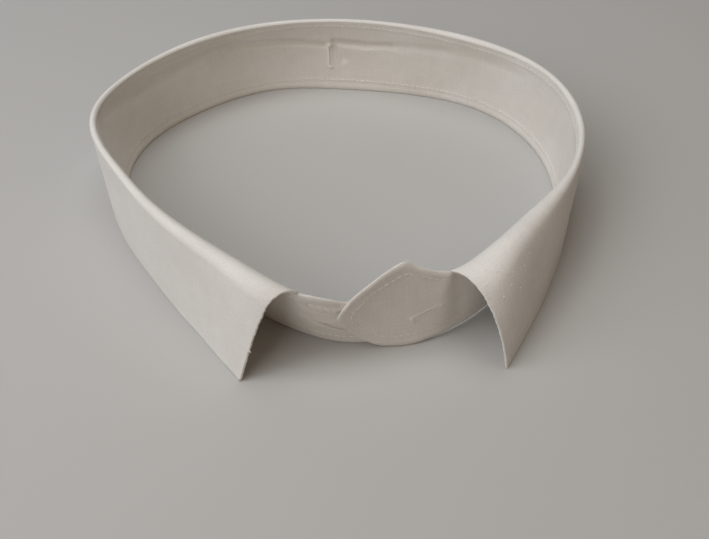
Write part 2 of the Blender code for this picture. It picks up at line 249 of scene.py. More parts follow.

# %% [markdown]
# Nothing cut from cloth is perfectly smooth, and a starched collar keeps each bend it was given. The
# creases that show are given as short lines on the cloth, in its own measure: millimetres along
# the band and up from its foot. Each is a soft trough or ridge that fades round its line. Sculpting would
# do the same, but a table can be read, and the same line then moves both faces of the wall.

# %% Creases
#   Each row: from (along, up), to (along, up), depth in mm (outward is plus), width in mm
BAND_CREASES = (
    (151.0, 29.7, 178.7, 23.6, 1.30, 3.2),
    (178.7, 23.3, 196.0, 23.8, 1.90, 2.0),
    (196.0, 23.8, 207.4, 25.3, 2.00, 1.7),
    (207.4, 25.3, 218.4, 26.8, 1.80, 1.4),
    (219.6, 25.2, 220.2, 22.2, 0.80, 1.0),
    (220.4, 26.6, 235.0, 24.3, 1.75, 1.2),
    (235.0, 24.3, 252.0, 22.8, 2.00, 1.2),
    (252.0, 22.8, 263.6, 21.0, 1.30, 1.1),
    (268.6, 22.8, 282.0, 21.8, 2.00, 1.2),
    (282.0, 21.8, 294.5, 22.8, 1.20, 1.3),
    (294.5, 22.8, 317.5, 24.8, 0.55, 2.0),
    (317.5, 24.8, 355.5, 26.3, 0.45, 2.6),
    (268.4, 20.4, 271.5, 14.6, 0.80, 1.6),
    (264.4, 25.4, 265.6, 24.0, -0.60, 0.9),
    (260.0, 24.4, 262.5, 25.2, -0.45, 0.8),
    (486.4, 26.4, 487.8, 21.8, 0.40, 2.2),
    (487.8, 21.8, 488.4, 15.1, 0.34, 3.2),
    (488.4, 15.1, 489.9, 6.5, 0.24, 3.8),
    (480.5, 24.0, 482.0, 9.0, -0.45, 4.2),
    (33.4, 22.0, 31.0, 19.8, -1.10, 0.9),
    (31.0, 19.8, 27.5, 18.4, -2.00, 0.9),
    (27.5, 18.4, 16.0, 18.2, -2.20, 0.9),
    (30.4, 21.6, 18.0, 20.2, 0.55, 0.9),
    (34.2, 15.2, 28.5, 10.7, -1.00, 1.0),
    (28.5, 10.7, 15.0, 9.6, -1.60, 0.9),
    (30.0, 13.6, 17.0, 12.4, 0.55, 1.2),
    (35.4, 25.6, 32.8, 24.7, 0.42, 0.9),
    (60.0, 24.0, 96.0, 26.0, 0.24, 2.6),
    (110.0, 12.0, 132.0, 9.0, -0.24, 4.0),
    (401.5, 26.5, 437.5, 25.0, 0.24, 2.4),
    (428.0, 13.0, 449.0, 9.0, -0.22, 3.4),
)
#   The broad bow of the back above and below its crease
BAND_BOWS = (
    (191.0, 24.0, 263.0, 23.0, 0.34, 6.5),
    (263.0, 23.0, 346.0, 25.0, 0.34, 6.5),
    (226.0, 8.0, 301.0, 7.0, -0.25, 5.5),
)
LEAF_CREASES = (
    (44.0, 18.0, 62.0, 40.0, -0.30, 7.0),
    (90.0, 14.0, 120.0, 22.0, 0.22, 8.0),
    (148.0, 30.0, 183.0, 24.0, -0.28, 6.0),
    (215.0, 16.0, 263.0, 19.0, 0.30, 5.5),
    (287.0, 27.0, 331.0, 22.0, -0.26, 6.5),
    (353.0, 14.0, 385.0, 26.0, 0.25, 6.0),
    (425.0, 12.0, 449.0, 36.0, -0.30, 6.5),
    (463.0, 13.0, 475.0, 34.0, 0.35, 6.0),
)


def relief(creases, along, up):
    """How far the creases move the cloth at the given places, in mm."""
    moved = np.zeros(np.broadcast(along, up).shape)
    for from_along, from_up, to_along, to_up, depth, width in creases:
        run, climb = to_along - from_along, to_up - from_up
        share = ((along - from_along) * run + (up - from_up) * climb) / (run ** 2 + climb ** 2)
        share = np.clip(share, 0.0, 1.0)
        aside = np.hypot(along - from_along - share * run, up - from_up - share * climb)
        moved += depth * np.exp(-(aside / width) ** 2)
    return moved


deepest = max(abs(depth) for *_, depth, width in BAND_CREASES)
print(len(BAND_CREASES) + len(LEAF_CREASES), "creases, drawn at most", deepest, "mm deep")

# %% [markdown]
# The band's wall stands on its foot line and leans and bows as its rows say. Its points are worked out by
# one function, so that the cloth, its buttonholes and its stitches all lie on the same surface. The
# layers inside the wall take up part of each crease: little of it reaches the outer face where the leaf
# presses on that, and a groove in the outer face shows only in part inside the neck.

# %% The band's surface
DEEPEST = 1.4          # mm, that any creases meeting in one place move the cloth
FAR_SHARE = 0.45       # share of a groove in the outer face that shows inside the neck
HELD_SHARE = 0.35      # share of a crease that shows on the outer face where the leaf presses on it
HELD_FROM, HELD_FADE = 3.0, 6.0   # mm in from the leaf's ends, where it starts to press, and over which
FACE = 0.2             # mm from mid-wall, past which a point belongs to that face
NUDGE = 0.05           # mm along the foot line, to find its direction


def unit(vectors):
    """The vectors at length one."""
    return vectors / np.linalg.norm(vectors, axis=-1, keepdims=True)


def sizes(places):
    """Every column of the sections at the given places, by its name."""
    values = spline(knots, table, places)
    values[:, leaf_columns] = spline(knots[leaf_rows], table[leaf_rows, leaf_columns], places)
    return dict(zip(COLUMNS, values.T))


def band_point(places, heights, out, creased=True):
    """Points of the band, at a place along it, a height above its foot and a distance out from mid-wall."""
    places, heights, out = np.broadcast_arrays(places, heights, out)
    shape = places.shape
    along, up = places.ravel().astype(float), heights.ravel().astype(float)
    size = sizes(along)
    ahead = spline(knots, table[:, :2], along + NUDGE) - spline(knots, table[:, :2], along - NUDGE)
    outward = unit(np.stack([-ahead[:, 1], ahead[:, 0]], axis=1))
    part = up / BELLY_HEIGHT
    lean = np.tan(np.radians(size["lean"]))
    shift = lean * up + size["belly"] * 4 * part * (1 - part)
    slope = lean + size["belly"] * 4 * (1 - 2 * part) / BELLY_HEIGHT
    folded = relief(BAND_CREASES, along, up) if creased else np.zeros_like(along)
    folded = DEEPEST * np.tanh(folded / DEEPEST)
    bowed = relief(BAND_BOWS, along, up) if creased else 0.0
    from_end = np.minimum(along - LEAF_START, LEAF_END - along)
    covered = np.where(out.ravel() > FACE, np.clip((from_end - HELD_FROM) / HELD_FADE, 0.0, 1.0), 0.0)
    behind = (out.ravel() < -FACE) & (folded < 0.0)
    distance = out.ravel() + bowed + folded * np.where(behind, FAR_SHARE, 1 - (1 - HELD_SHARE) * covered)
    square = distance / np.hypot(1.0, slope)
    level = np.stack([size["x"], size["y"]], axis=1) + outward * (shift + square)[:, None]
    return np.column_stack([level, np.maximum(up - square * slope, 0.0)]).reshape(*shape, 3)


def band_edges(places):
    """Height of the band's lower and upper edge."""
    low = np.zeros_like(places)
    high = sizes(places)["height"]
    for tab, reach in ((OVER_TAB, LENGTH - places), (UNDER_TAB, places)):
        distance, lower, upper = np.array(tab).T
        inside = reach < distance[-1]
        low[inside] = np.interp(reach[inside], distance, lower)
        high[inside] = np.interp(reach[inside], distance, upper)
    reach = LENGTH - places
    lifted = (reach >= OVER_FOOT[0][0]) & (reach < OVER_FOOT[-1][0])
    low[lifted] = np.interp(reach[lifted], *np.array(OVER_FOOT).T)
    return low, high


THINNEST = 0.2         # share of the wall that is left flat at an edge


def half_wall(distance, wall, radius):
    """Half the wall's thickness at a distance from its nearest edge, which is turned in and round."""
    inset = np.clip(distance / radius, 0.0, 1.0)
    return wall / 2 * np.maximum(np.sqrt(1 - (1 - inset) ** 2), THINNEST)


print("Foot of the band at the back:", band_point(BACK, 0.0, 0.0).round(1))

# %% [markdown]
# The leaf leaves the band's edge nearly upright, turns over in a fold that is tight behind the neck and
# wide at the front, and comes down to its hem. A bent plane would need a lattice or a simulation to get
# there. Here each section is an arc and then one smooth curve to the hem, which is how the starched cloth
# holds itself.

# %% The leaf's surface
ROLL_ROWS, DROP_ROWS = 12, 44
SEAM_GAP = 0.04      # mm, so that band and leaf never share a point
LEAF_RADIUS = 0.45   # mm, over which its edges round off
DROP = 36.0          # mm, roughly, from the fold to the hem, to space the last rows
WAVER_FADE = 0.8     # mm, over which the uneven front edges even out
edge_steps = np.array([0.0, 0.06, 0.17, 0.34, 0.62])


def leaf_middle(places):
    """Middle of the leaf's wall: one row of points for each section, from the band's edge to the hem."""
    size = sizes(places)
    start = band_point(places, size["height"] + SEAM_GAP, 0.0, creased=False)
    way = np.stack([size["hem_x"], size["hem_y"]], axis=1) - start[:, :2]
    span = np.linalg.norm(way, axis=1)
    rise, shoulder, sweep = (np.radians(size[name])[:, None] for name in ("rise", "shoulder", "sweep"))
    radius = size["roll"][:, None]
    turn = rise - (rise + shoulder) * np.linspace(0, 1, ROLL_ROWS + 1)
    far = radius * (np.sin(rise) - np.sin(turn))
    tall = start[:, 2:] + radius * (np.cos(turn) - np.cos(rise))
    chord = np.hypot(span[:, None] - far[:, -1:], tall[:, -1:])
    b = np.linspace(0, 1, DROP_ROWS + 1)[1:]
    b = np.concatenate([b[:-2], 1 - edge_steps[::-1] / DROP])
    near_part, far_part = 2 * b ** 3 - 3 * b ** 2 + 1, 3 * b ** 2 - 2 * b ** 3
    leave, arrive = b ** 3 - 2 * b ** 2 + b, b ** 3 - b ** 2
    drop_far = (near_part * far[:, -1:] + leave * chord * np.cos(shoulder)
                + far_part * span[:, None] + arrive * chord * np.sin(sweep))
    drop_tall = near_part * tall[:, -1:] - leave * chord * np.sin(shoulder) - arrive * chord * np.cos(sweep)
    far = np.concatenate([far, drop_far], axis=1)
    tall = np.concatenate([tall, drop_tall], axis=1)
    level = start[:, None, :2] + far[..., None] * (way / span[:, None])[:, None, :]
    return np.concatenate([level, tall[..., None]], axis=2)


leaf_places = np.concatenate([
    LEAF_START + edge_steps,
    np.linspace(LEAF_START + 1.2, LEAF_END - 1.2, 440),
    (LEAF_END - edge_steps)[::-1],
])
leaf_mid = leaf_middle(leaf_places)
row = np.arange(leaf_mid.shape[1])
uneven = 0.09 * np.sin(1.9 * row) + 0.06 * np.sin(0.73 * row + 1.0) + 0.05 * np.sin(3.1 * row + 2.0)
for places_in, sign in ((leaf_places - LEAF_START, -1.0), (LEAF_END - leaf_places, 1.0)):
    fade = np.exp(-(places_in / WAVER_FADE) ** 2)[:, None]
    leaf_mid += (unit(np.gradient(leaf_mid, axis=0)) * (sign * uneven * fade)[..., None])
leaf_normal = unit(np.cross(np.gradient(leaf_mid, axis=0), np.gradient(leaf_mid, axis=1)))
leaf_normal[:, 0] = unit(band_point(leaf_places, sizes(leaf_places)["height"], -1.0, creased=False)
                         - band_point(leaf_places, sizes(leaf_places)["height"], 0.0, creased=False))
leaf_down = np.concatenate([
    np.zeros((len(leaf_places), 1)),
    np.cumsum(np.linalg.norm(np.diff(leaf_mid, axis=1), axis=2), axis=1),
], axis=1)
leaf_along = np.broadcast_to(leaf_places[:, None], leaf_down.shape)
from_edge = np.minimum(leaf_down[:, -1:] - leaf_down,
                       np.minimum(leaf_along - LEAF_START, LEAF_END - leaf_along) * 1.3)
leaf_half = half_wall(from_edge, LEAF_WALL, LEAF_RADIUS)[..., None]
leaf_bent = leaf_mid + leaf_normal * relief(LEAF_CREASES, leaf_along, leaf_down)[..., None]
leaf_outer = leaf_bent + leaf_normal * leaf_half
leaf_inner = leaf_bent - leaf_normal * leaf_half
CENTRE = np.array([1.7494, -3.7156, 0.0])   # mm, the collar's origin in the frame of the sections
print("The leaf comes down", leaf_down.max().round(1), "mm at its longest, measured on the cloth")

# %% [markdown]
# A wall of cloth is an outer and an inner sheet of points, joined round the rim. Solidify would do it
# from one sheet, but two sheets let the thickness run out to a round edge. The place of each point on the
# flat cloth is kept with it, so that the weave later follows the cloth through every bend.

# %% Walls of cloth
UNSEWN = 9.0         # mm from a seam, for cloth that has none


def new_piece(name, points, faces, smooth=True):
    """A piece of the given points, in mm, and faces."""
    data = bpy.data.meshes.new(name)
    data.from_pydata(((points.reshape(-1, 3) - CENTRE) * MM).tolist(), [], faces)
    if smooth:
        data.shade_smooth()
    piece = bpy.data.objects.new(name, data)
    bpy.context.scene.collection.objects.link(piece)
    return piece


def face_outwards(data):
    """Turn every face of a closed mesh outwards."""
    work = bmesh.new()
    work.from_mesh(data)
    bmesh.ops.recalc_face_normals(work, faces=work.faces[:])
    work.to_mesh(data)
    work.free()


def cloth_wall(name, outer, inner, along, up, seam=None):
    """Closed wall between two grids of points in mm, with places on the cloth kept as attributes."""
    index = np.arange(along.size).reshape(along.shape)
    near, far = index[:-1], index[1:]
    face = np.stack([near[:, :-1], far[:, :-1], far[:, 1:], near[:, 1:]], axis=-1).reshape(-1, 4)
    faces = [face, face[:, ::-1] + along.size]
    for rim in (index[:, 0], index[:, -1], index[0], index[-1]):
        faces.append(np.stack([rim[:-1], rim[1:], rim[1:] + along.size, rim[:-1] + along.size], axis=-1))
    points = np.concatenate([outer.reshape(-1, 3), inner.reshape(-1, 3)])
    points[:, 2] = np.maximum(points[:, 2], 0.0)
    faces = np.concatenate(faces).tolist()
    piece = new_piece(name, points, faces)
    face_outwards(piece.data)
    place = np.stack([along.ravel(), up.ravel(), np.zeros(along.size)], axis=1)
    distance = np.full(along.size, UNSEWN) if seam is None else seam.ravel()
    attributes = piece.data.attributes
    attributes.new("cloth", "FLOAT_VECTOR", "POINT").data.foreach_set(
        "vector", np.concatenate([place, place]).astype(np.float32).ravel())
    attributes.new("seam", "FLOAT", "POINT").data.foreach_set(
        "value", np.concatenate([distance, distance]).astype(np.float32))
    print(name, "has", 2 * len(faces), "triangles")
    return piece


leaf = cloth_wall("leaf_cloth", leaf_outer, leaf_inner, leaf_along, leaf_down)

# %% [markdown]
# A band is made of two outsides with a stiff inside between them, turned in at the edges and stitched
# down all round. The machine's line runs about 4 mm inside the tab's outline and the foot, and close
# under the upper edge, where it also holds the leaf. The line is a path on the cloth, and stitches and
# puckers both follow it.

# %% Stitch lines
#   Places on the band: reach from the over tab's tip (or along from the under tab's), and height
OVER_LINE = (
    (46.0, 28.2), (40.5, 26.6), (34.6, 25.7), (30.1, 27.3), (26.1, 28.8), (23.4, 29.5), (20.8, 29.2),
    (17.2, 27.9), (12.8, 26.0), (10.1, 24.0), (7.4, 21.0), (5.0, 18.2), (4.6, 16.2), (6.4, 12.2),
    (9.8, 7.8), (14.1, 5.2), (17.0, 4.8),
)
UNDER_LINE = (
    (46.0, 4.7), (24.0, 4.3), (15.0, 4.5), (10.0, 5.6), (6.4, 8.0), (4.9, 11.4), (6.2, 14.5), (9.6, 16.3),
    (14.5, 17.4), (20.0, 18.8), (24.0, 20.9), (28.0, 22.7), (34.0, 24.0), (46.0, 28.1),
)
TAB_LINE = 46.0      # mm from each tip, where the tab's line meets the rows between
OVER_MEET = 17.0     # mm from the over tab's tip, where its line meets the foot row
TOP_INSET, FOOT_ROW = 1.7, 4.7   # mm from the upper edge down, and from the foot up
LINE_STEP = 0.25     # mm between points on a line
STITCH = 2.3         # mm from one needle hole to the next


def smooth_line(points):
    """Evenly spaced points on a smooth line through the given ones."""
    points = np.array(points, dtype=float)
    run = np.concatenate([[0.0], np.cumsum(np.linalg.norm(np.diff(points, axis=0), axis=1))])
    return spline(run, points, np.arange(0.0, run[-1], LINE_STEP))


over = smooth_line(OVER_LINE) * (-1, 1) + (LENGTH, 0)
under = smooth_line(UNDER_LINE)
between = np.arange(TAB_LINE, LENGTH - TAB_LINE, LINE_STEP)
top_row = np.column_stack([between, band_edges(between)[1] - TOP_INSET])
between = np.arange(TAB_LINE, LENGTH - OVER_MEET, LINE_STEP)
foot_row = np.column_stack([between, band_edges(between)[0] + FOOT_ROW])[::-1]
seam_line = np.concatenate([under, top_row, over, foot_row])
print(f"The seam line is {len(seam_line) * LINE_STEP * MM:.2f} m long")

# %% [markdown]
# A buttonhole is cut through all the layers and whipped round with close stitches, with a bar tack across
# each end. Under the iron the whipping sinks into the cloth and leaves a low lip round a slit that is
# nearly shut, so the wall itself swells there.

# %% Buttonholes
#   Each hole: place along, height, length, rise in degrees, width that stands open, height of its lip,
#   height of the lumps at its first and last end
HOLES = {
    "back": (BACK + 0.9, 16.0, 9.5, 90.0, 0.12, 0.34, 0.50, 0.80),
    "over": (LENGTH - 29.2, 12.7, 9.6, 20.0, 0.02, 0.07, 0.45, 0.05),
    "under": (22.0, 8.8, 12.0, -12.0, 0.10, 0.16, 0.30, 0.20),
}


def hole_ways(rise):
    """Directions along and across a hole, as steps on the cloth."""
    angle = np.radians(rise)
    return np.array([-np.cos(angle), np.sin(angle)]), np.array([np.sin(angle), np.cos(angle)])


def hole_swell(along, up):
    """How much the whipping and the tacks thicken the wall on each face, in mm."""
    swell = np.zeros(along.shape)
    for place, height, length, rise, _, lip, *lumps in HOLES.values():
        lengthwise, across = hole_ways(rise)
        ahead = (along - place) * lengthwise[0] + (up - height) * lengthwise[1]
        aside = (along - place) * across[0] + (up - height) * across[1]
        beyond = np.maximum(np.abs(ahead) - length / 2, 0.0)
        swell += lip * np.exp(-((np.hypot(aside, beyond) - 0.4) / 0.5) ** 2)
        for end, lump in zip((-1, 1), lumps):
            tack = np.hypot((ahead - end * (length / 2 + 0.4)) / 0.6, aside / 1.1)
            swell += lump * np.exp(-tack ** 2)
    return swell


print("Holes:", {name: hole[2] for name, hole in HOLES.items()}, "mm long")

# %% [markdown]
# The band itself is a fine grid, closer together at its tabs, its edges and the hole at the back. Between
# its turned edge and its stitch line the seam allowance lies doubled inside, so the cloth there is
# fuller.

# %% The band
BAND_RADIUS = 1.3      # mm, over which the band's turned edges round off
FULLNESS = 0.2         # mm, of the doubled cloth inside the edge
FULL_AT, FULL_WIDTH = 1.9, 1.3     # mm in from the edge, and how far it spreads
HEIGHT = 33.0          # mm, roughly, of the band, to space the rows at its edges
TAB_GRID = 42.0        # mm of each tab with the finer grid
MIDDLE_COLUMNS, MIDDLE_ROWS = 185, 58
tab_steps = np.concatenate([edge_steps, np.arange(1.0, TAB_GRID, 0.5)])
band_places = np.concatenate([
    tab_steps,
    np.linspace(TAB_GRID + 0.6, BACK - 6.0, MIDDLE_COLUMNS),
    np.arange(BACK - 5.5, BACK + 8.0, 0.5),
    np.linspace(BACK + 8.5, LENGTH - TAB_GRID - 0.6, MIDDLE_COLUMNS),
    (LENGTH - tab_steps)[::-1],
])
low, high = band_edges(band_places)
rim = edge_steps / HEIGHT
share = np.concatenate([rim, np.linspace(0.033, 0.967, MIDDLE_ROWS), (1 - rim)[::-1]])
band_up = low[:, None] + (high - low)[:, None] * share
band_along = np.broadcast_to(band_places[:, None], band_up.shape)
under_leaf = np.clip(np.minimum(band_along - LEAF_START, LEAF_END - band_along), 0.0, 2.0)
from_top = high[:, None] - band_up + under_leaf * 5   # where the leaf is sewn on, the top is no free edge
from_edge = np.minimum.reduce([band_up - low[:, None], from_top, band_along, LENGTH - band_along])
full = FULLNESS * np.exp(-((from_edge - FULL_AT) / FULL_WIDTH) ** 2)
band_half = half_wall(from_edge, WALL, BAND_RADIUS) + full + hole_swell(band_along, band_up)

tree_of_seam = KDTree(len(seam_line))
for i, (along, up) in enumerate(seam_line):
    tree_of_seam.insert((along, up, 0.0), i)
tree_of_seam.balance()
cloth_places = zip(band_along.ravel(), band_up.ravel())
from_seam = np.array([tree_of_seam.find((along, up, 0.0))[2] for along, up in cloth_places])
SEAM_DEPTH, SEAM_WIDTH = 0.13, 0.7      # mm, of the groove that the stitches pull
INNER_SHARE = 0.4                       # the groove is shallower on the bobbin side, inside the neck
pull = SEAM_DEPTH * np.exp(-(from_seam.reshape(band_up.shape) / SEAM_WIDTH) ** 2)
band_outer = band_point(band_along, band_up, band_half - pull)
band_inner = band_point(band_along, band_up, INNER_SHARE * pull - band_half)
band = cloth_wall("band_cloth", band_outer, band_inner, band_along, band_up, from_seam)

# %% [markdown]
# The slits are cut out of the finished wall with a thin strip that bends with the band. A straight blade
# would pass through the bend into the other tab, which lies close behind.

# %% Slits
BLADE_REACH = 0.95     # mm each way from mid-wall
BLADE_STEPS = 15


def cut_hole(piece, place, height, length, rise, width):
    """Take a thin slit out of the piece."""
    lengthwise, across = hole_ways(rise)
    steps = np.linspace(-length / 2, length / 2, BLADE_STEPS)[:, None]
    rows = []
    for side, out in ((-1, -1), (1, -1), (1, 1), (-1, 1)):
        spots = np.array([place, height]) + steps * lengthwise + side * width / 2 * across
        rows.append(band_point(spots[:, 0], spots[:, 1], out * BLADE_REACH))
    index = np.arange(4 * BLADE_STEPS).reshape(4, BLADE_STEPS)
    faces = [index[:, 0].tolist(), index[::-1, -1].tolist()]
    for near, far in zip(index, np.roll(index, -1, axis=0)):
        faces += np.stack([near[:-1], near[1:], far[1:], far[:-1]], axis=1).tolist()
    blade = new_piece("blade", np.concatenate(rows), faces, smooth=False)
    face_outwards(blade.data)
    change = piece.modifiers.new("slit", "BOOLEAN")
    change.operation = "DIFFERENCE"
    change.solver = "EXACT"
    change.object = blade
    bpy.context.view_layer.update()
    shape = bpy.data.meshes.new_from_object(piece.evaluated_get(bpy.context.evaluated_depsgraph_get()))
    piece.modifiers.clear()
    piece.data = shape
    bpy.data.objects.remove(blade, do_unlink=True)


for hole, (place, height, length, rise, width, *_) in HOLES.items():
    before = len(band.data.polygons)
    cut_hole(band, place, height, length, rise, width)
    print("Cut the", hole, "hole:", before, "faces, now", len(band.data.polygons))

# %% [markdown]
# Thread lies on cloth as a row of short bars that dive in at both ends. One function makes any number of
# them at once, from where each starts and ends and which way is up.

# %% Bars of thread
SIDES = 6
BAR_PROFILE = np.array([   # share of the way, share of the radius, share of the lift
    (0.00, 0.45, -0.9), (0.10, 0.90, 0.1), (0.35, 1.00, 0.9),
    (0.65, 1.00, 0.9), (0.90, 0.90, 0.1), (1.00, 0.45, -0.9),
])


def tube_faces(count, rings, sides):
    """Faces of many short tubes with closed ends, whose points run tube by tube and ring by ring."""
    index = np.arange(count * rings * sides).reshape(count, rings, sides)
    turned = np.roll(index, -1, axis=2)
    quads = np.stack([index[:, :-1], turned[:, :-1], turned[:, 1:], index[:, 1:]], axis=-1)
    return quads.reshape(-1, 4).tolist() + index[:, 0, ::-1].tolist() + index[:, -1].tolist()


def thread_bars(name, starts, ends, normals, radius, lift):
    """One mesh of many short threads, in mm."""
    way = ends - starts
    side = unit(np.cross(way, normals))
    upward = unit(np.cross(side, way))
    angle = np.linspace(0, 2 * np.pi, SIDES, endpoint=False)
    share, wide, tall = BAR_PROFILE.T
    centre = starts[:, None] + way[:, None] * share[:, None] + upward[:, None] * (tall * lift)[:, None]
    ring = (side[:, None] * np.cos(angle)[:, None] + upward[:, None] * np.sin(angle)[:, None]) * radius
    points = centre[:, :, None] + ring[:, None] * wide[:, None, None]
    print(name, "has", len(starts), "threads")
    return new_piece(name, points, tube_faces(len(starts), len(BAR_PROFILE), SIDES))


def on_cloth(line, side, gap=0.0):
    """Points of a line on one face of the band, and the way out of the cloth there."""
    groove = SEAM_DEPTH * (1.0 if side > 0 else INNER_SHARE)
    surface = WALL / 2 - groove + gap + hole_swell(line[:, 0], line[:, 1])
    points = band_point(line[:, 0], line[:, 1], side * surface)
    return points, unit(band_point(line[:, 0], line[:, 1], side * (surface + 0.5)) - points)


STITCH_FROM, STITCH_TO = 0.2, STITCH - 0.35   # mm from each needle hole, where its stitch starts and ends
WANDER = 0.09                                # mm
rng = np.random.default_rng(47)
topstitches = []
for side, name, lines, radius, lift in (
    (1, "topstitch", (under, top_row, over), 0.20, 0.09),
    (1, "foot_stitch", (foot_row,), 0.14, 0.02),
    (-1, "bobbin_stitch", (under, top_row, over, foot_row), 0.15, 0.03),
):
    starts, ends, normals = [], [], []
    for line in lines:
        run = np.arange(len(line)) * LINE_STEP
        holes = np.arange(0.0, run[-1] - STITCH, STITCH)
        for offset, points in ((STITCH_FROM, starts), (STITCH_TO, ends)):
            wander = rng.normal(0.0, WANDER, (2, len(holes)))
            spots = np.stack([np.interp(holes + offset, run, part) for part in line.T]) + wander
            laid, upward = on_cloth(spots.T, side)
            points.append(laid)
        normals.append(upward)
    parts = [np.concatenate(part) for part in (starts, ends, normals)]
    topstitches.append(thread_bars(name, *parts, radius, lift))

# %% [markdown]
# The whipping stands on each side of a slit, bar beside bar, and the tacks lie across its ends.

# %% Buttonhole stitches
WHIP_PITCH, WHIP_FROM, WHIP_TO = 0.42, 0.10, 0.95    # mm along the slit, and out from its middle
WHIP_RADIUS, WHIP_LIFT = 0.13, -0.02                 # mm, pressed flat into the cloth
TACK_BARS, TACK_PITCH, TACK_HALF = 4, 0.34, 1.1      # how many, mm apart, and mm each way
starts, ends, normals = [], [], []
for place, height, length, rise, *_ in HOLES.values():
    lengthwise, across = hole_ways(rise)
    middle = np.array([place, height])
    steps = np.arange(-length / 2, length / 2 + 0.01, WHIP_PITCH)
    lines = []
    for way in (1, -1):
        base = middle + steps[:, None] * lengthwise
        jitter = rng.normal(0.0, 0.05, len(steps))[:, None]
        lines.append((base + way * WHIP_FROM * across, base + way * (WHIP_TO + jitter) * across))
    for end in (-1, 1):
        base = middle + end * (length / 2 + np.arange(TACK_BARS) * TACK_PITCH)[:, None] * lengthwise
        jitter = rng.normal(0.0, 0.12, TACK_BARS)[:, None]
        lines.append((base - (TACK_HALF + jitter) * across, base + (TACK_HALF - jitter) * across))
    for side in (1, -1):
        for from_line, to_line in lines:
            rise_back = SEAM_DEPTH * (1.0 if side > 0 else INNER_SHARE)
            from_point, upward = on_cloth(from_line, side, rise_back)
            starts.append(from_point)
            ends.append(on_cloth(to_line, side, rise_back)[0])
            normals.append(upward)
parts = [np.concatenate(part) for part in (starts, ends, normals)]
whipping = thread_bars("buttonhole_stitches", *parts, WHIP_RADIUS, WHIP_LIFT)

# %% [markdown]
# Close up, the edges of worn and laundered cotton are never clean: short fibres stand up from the fold,
# the hem and the tabs. Blender's hair would need a particle system, which does not travel with the model,
# so each fibre is a thin bent prism of three sides. A real fibre is 0.02 mm thick, and these are 0.05 mm,
# so that they show.

# %% Loose fibres
FIBRE_RADIUS = 0.025     # mm
FIBRE_BENDS = 5
FIBRE_TAPER = 0.7        # share of its width that a fibre loses towards its tip
FIBRE_LOWEST = 0.03      # mm above the ground
FIBRE_CORNERS = np.array([0.0, 2.1, 4.2])   # radians


def fibres(name, roots, away, length):
    """Bent fibres that stand on the cloth, in mm."""
    count = len(roots)
    aside = unit(np.cross(away, rng.normal(size=(count, 3))))
    curl = rng.uniform(0.2, 1.0, (count, 1))
    share = np.linspace(0, 1, FIBRE_BENDS)
    centre = (roots[:, None] + away[:, None] * (length[:, None] * share)[..., None]
              + (aside * curl)[:, None] * (length[:, None] * share ** 2)[..., None])
    other = unit(np.cross(away, aside))
    cosine, sine = np.cos(FIBRE_CORNERS)[:, None], np.sin(FIBRE_CORNERS)[:, None]
    ring = (aside[:, None] * cosine + other[:, None] * sine) * FIBRE_RADIUS
    points = centre[:, :, None] + ring[:, None] * (1 - FIBRE_TAPER * share)[:, None, None]
    points[..., 2] = np.maximum(points[..., 2], FIBRE_LOWEST)
    print(name, "has", count, "fibres")
    return new_piece(name, points, tube_faces(count, FIBRE_BENDS, len(FIBRE_CORNERS)))


def pick(count, columns, rows):
    """Random places in a grid."""
    return rng.integers(*columns, count), rng.integers(*rows, count)


leaf_count, leaf_depth = leaf_along.shape
band_count, band_depth = band_along.shape
spots = []
for grid, normal, (column, row) in (
    (leaf_outer, leaf_normal, pick(420, (0, leaf_count), (3, ROLL_ROWS + 3))),
    (leaf_outer, leaf_normal, pick(200, (0, leaf_count), (leaf_depth - 4, leaf_depth))),
    (leaf_outer, leaf_normal, pick(90, (0, 60), (3, ROLL_ROWS + 3))),
    (leaf_outer, leaf_normal, pick(90, (leaf_count - 60, leaf_count), (3, ROLL_ROWS + 3))),
    (leaf_outer, leaf_normal, pick(60, (0, 4), (4, leaf_depth))),
    (leaf_outer, leaf_normal, pick(60, (leaf_count - 4, leaf_count), (4, leaf_depth))),
):
    spots.append((grid[column, row], normal[column, row]))
band_out = unit(band_outer - band_inner)
for columns, rows, count in (
    ((band_count - 84, band_count), (band_depth - 4, band_depth), 170),
    ((band_count - 84, band_count), (0, 3), 80),
    ((20, 84), (band_depth - 4, band_depth), 90),
    ((20, 84), (0, 3), 30),
):
    column, row = pick(count, columns, rows)
    lift = np.array([0, 0, 1.0 if rows[0] else -0.6])
    spots.append((band_outer[column, row], unit(band_out[column, row] * 0.6 + lift)))
roots = np.concatenate([spot[0] for spot in spots])
away = unit(np.concatenate([spot[1] for spot in spots]) + rng.normal(0.0, 0.45, (len(roots), 3)))
lint = fibres("loose_fibres", roots - away * 0.05, away, rng.gamma(2.2, 0.42, len(roots)).clip(0.3, 2.6))

# %% [markdown]
# Where the right end of the fold has been rubbed, the fibres have rolled into a few tiny pills, and on
# the left front edge one thread end sticks out. Both are short bars, as the stitches are.

# %% Pills and a thread end
#   Places on the leaf: along, down from the band's edge
PILLS = (
    (478.2, 10.5), (479.6, 13.2), (474.8, 14.0), (481.0, 8.2), (472.0, 11.8), (476.4, 17.5), (468.8, 15.4),
    (483.2, 12.2), (470.6, 8.0), (465.3, 12.6), (480.4, 18.8), (473.5, 20.5), (44.0, 21.0), (40.5, 26.5),
)
THREAD_END = (LEAF_START + 0.3, 30.0)
PILL_HALF, PILL_RISE, PILL_RADIUS = 0.16, 0.08, 0.17   # mm


def on_leaf(along, down):
    """The point of the leaf's grid nearest to a place on it, with the way out of the cloth."""
    column = int(np.abs(leaf_places - along).argmin())
    row = int(np.abs(leaf_down[column] - down).argmin())
    ahead = unit(leaf_outer[min(column + 1, leaf_count - 1), row] - leaf_outer[max(column - 1, 0), row])
    return leaf_outer[column, row], leaf_normal[column, row], ahead


